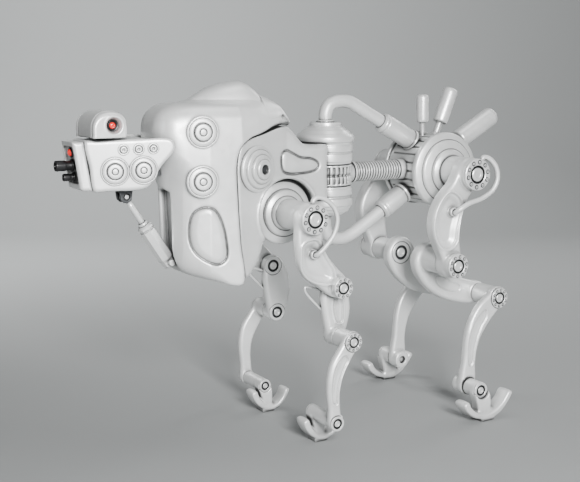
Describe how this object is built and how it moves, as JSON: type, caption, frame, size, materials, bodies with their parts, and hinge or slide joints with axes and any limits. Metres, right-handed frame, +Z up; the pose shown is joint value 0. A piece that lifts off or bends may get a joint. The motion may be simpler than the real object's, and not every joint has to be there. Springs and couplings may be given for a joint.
{
  "type": "quadruped robot",
  "caption": "Dog-shaped walking robot: casing chest with a wedge head, an upright waist column, a ribbed pelvis drum with hoses, and jointed legs on curved rocker feet.",
  "frame": {"origin": "middle of the whole length and width, on the floor that the feet stand on", "axes": "+X forwards towards the head, +Y to the robot's left, +Z up"},
  "size_m": [0.876, 0.336, 0.6116],
  "materials": {
    "shell": "satin",
    "alloy": "satin",
    "bright": "polished",
    "dark": "satin",
    "barrel": "satin",
    "hose": "satin",
    "cell": "matte"
  },
  "bodies": {
    "torso": {"chest_casing": "shell", "dorsal_cover": "shell", "chest_frame": "alloy", "neck_arm": "dark", "battery_pack": "cell", "control_box": "dark", "left_flank_panel": "shell", "right_flank_panel": "shell", "left_upper_port_cover": "alloy", "right_upper_port_cover": "alloy", "left_lower_port_cover": "alloy", "right_lower_port_cover": "alloy", "left_yoke_disc": "alloy", "right_yoke_disc": "alloy", "left_front_hip_dome": "alloy", "right_front_hip_dome": "alloy", "column_upper_housing": "alloy", "column_lower_housing": "alloy"},
    "head": {"head_shell": "shell", "face_plate": "shell", "neck_pin": "bright", "upper_barrel": "barrel", "lower_barrel": "barrel"},
    "pod": {"sensor_pod": "shell"},
    "strut_cylinder": {"strut_cylinder": "alloy"},
    "strut_rod": {"strut_rod": "bright"},
    "pelvis": {"waist_ring": "alloy", "bellows_shaft": "hose", "pelvis_drum": "alloy", "left_rear_hip_dome": "alloy", "right_rear_hip_dome": "alloy", "upper_hose": "hose", "lower_hose": "hose", "upper_hose_ferrule": "alloy", "lower_hose_ferrule": "alloy", "front_damper": "alloy", "middle_damper": "alloy", "rear_damper": "alloy"},
    "front_left_upper": {"front_left_upper_link": "alloy", "front_left_hose_loop": "hose"},
    "front_left_fore": {"front_left_fore_link": "alloy"},
    "front_left_lower": {"front_left_shin": "alloy"},
    "front_left_foot": {"front_left_foot": "alloy"},
    "front_right_upper": {"front_right_upper_link": "alloy", "front_right_hose_loop": "hose"},
    "front_right_fore": {"front_right_fore_link": "alloy"},
    "front_right_lower": {"front_right_shin": "alloy"},
    "front_right_foot": {"front_right_foot": "alloy"},
    "rear_left_upper": {"rear_left_upper_link": "alloy", "rear_left_hose_loop": "hose"},
    "rear_left_fore": {"rear_left_fore_link": "alloy"},
    "rear_left_lower": {"rear_left_shin": "alloy"},
    "rear_left_foot": {"rear_left_foot": "alloy"},
    "rear_right_upper": {"rear_right_upper_link": "alloy", "rear_right_hose_loop": "hose"},
    "rear_right_fore": {"rear_right_fore_link": "alloy"},
    "rear_right_lower": {"rear_right_shin": "alloy"},
    "rear_right_foot": {"rear_right_foot": "alloy"}
  },
  "joints": [
    {"name": "waist_yaw", "type": "hinge", "parent": "torso", "child": "pelvis", "pos_m": [-0.0494, 0, 0.448], "axis": [0, 0, 1], "range_deg": [-18, 18]},
    {"name": "head_pitch", "type": "hinge", "parent": "torso", "child": "head", "pos_m": [0.3206, 0, 0.477], "axis": [0, 1, 0], "range_deg": [-8, 10]},
    {"name": "sensor_pan", "type": "hinge", "parent": "head", "child": "pod", "pos_m": [0.3626, 0, 0.525], "axis": [0, 0, 1], "range_deg": [-60, 60]},
    {"name": "strut_swing", "type": "hinge", "parent": "torso", "child": "strut_cylinder", "pos_m": [0.2546, 0, 0.319], "axis": [0, 1, 0], "range_deg": [-5, 5]},
    {"name": "strut_slide", "type": "slide", "parent": "strut_cylinder", "child": "strut_rod", "axis": [0.5442, 0, 0.839], "range_m": [-0.0075, 0.0075]},
    {"name": "front_left_hip", "type": "hinge", "parent": "torso", "child": "front_left_upper", "pos_m": [0.0586, 0.12, 0.391], "axis": [0, 1, 0], "range_deg": [-25, 25]},
    {"name": "front_left_knee", "type": "hinge", "parent": "front_left_upper", "child": "front_left_fore", "pos_m": [0.0036, 0.12, 0.273], "axis": [0, 1, 0], "range_deg": [-25, 25]},
    {"name": "front_left_hock", "type": "hinge", "parent": "front_left_fore", "child": "front_left_lower", "pos_m": [-0.0044, 0.12, 0.1845], "axis": [0, 1, 0], "range_deg": [-25, 25]},
    {"name": "front_left_ankle", "type": "hinge", "parent": "front_left_lower", "child": "front_left_foot", "pos_m": [0.0271, 0.12, 0.05], "axis": [0, 1, 0], "range_deg": [-20, 20]},
    {"name": "front_right_hip", "type": "hinge", "parent": "torso", "child": "front_right_upper", "pos_m": [0.0586, -0.12, 0.391], "axis": [0, 1, 0], "range_deg": [-25, 25]},
    {"name": "front_right_knee", "type": "hinge", "parent": "front_right_upper", "child": "front_right_fore", "pos_m": [0.0036, -0.12, 0.273], "axis": [0, 1, 0], "range_deg": [-25, 25]},
    {"name": "front_right_hock", "type": "hinge", "parent": "front_right_fore", "child": "front_right_lower", "pos_m": [-0.0044, -0.12, 0.1845], "axis": [0, 1, 0], "range_deg": [-25, 25]},
    {"name": "front_right_ankle", "type": "hinge", "parent": "front_right_lower", "child": "front_right_foot", "pos_m": [0.0271, -0.12, 0.05], "axis": [0, 1, 0], "range_deg": [-20, 20]},
    {"name": "rear_left_hip", "type": "hinge", "parent": "pelvis", "child": "rear_left_upper", "pos_m": [-0.2794, 0.1, 0.447], "axis": [0, 1, 0], "range_deg": [-20, 20]},
    {"name": "rear_left_knee", "type": "hinge", "parent": "rear_left_upper", "child": "rear_left_fore", "pos_m": [-0.2414, 0.09, 0.286], "axis": [0, 1, 0], "range_deg": [-20, 20]},
    {"name": "rear_left_hock", "type": "hinge", "parent": "rear_left_fore", "child": "rear_left_lower", "pos_m": [-0.3589, 0.09, 0.212], "axis": [0, 1, 0], "range_deg": [-20, 20]},
    {"name": "rear_left_ankle", "type": "hinge", "parent": "rear_left_lower", "child": "rear_left_foot", "pos_m": [-0.2914, 0.12, 0.054], "axis": [0, 1, 0], "range_deg": [-20, 20]},
    {"name": "rear_right_hip", "type": "hinge", "parent": "pelvis", "child": "rear_right_upper", "pos_m": [-0.2794, -0.1, 0.447], "axis": [0, 1, 0], "range_deg": [-20, 20]},
    {"name": "rear_right_knee", "type": "hinge", "parent": "rear_right_upper", "child": "rear_right_fore", "pos_m": [-0.2414, -0.09, 0.286], "axis": [0, 1, 0], "range_deg": [-20, 20]},
    {"name": "rear_right_hock", "type": "hinge", "parent": "rear_right_fore", "child": "rear_right_lower", "pos_m": [-0.3589, -0.09, 0.212], "axis": [0, 1, 0], "range_deg": [-20, 20]},
    {"name": "rear_right_ankle", "type": "hinge", "parent": "rear_right_lower", "child": "rear_right_foot", "pos_m": [-0.2914, -0.12, 0.054], "axis": [0, 1, 0], "range_deg": [-20, 20]}
  ],
  "couplings": [
    {"joint": "strut_swing", "follows": "head_pitch", "ratio": -0.275},
    {"joint": "strut_slide", "follows": "head_pitch", "m_per_rad": -0.0304}
  ]
}
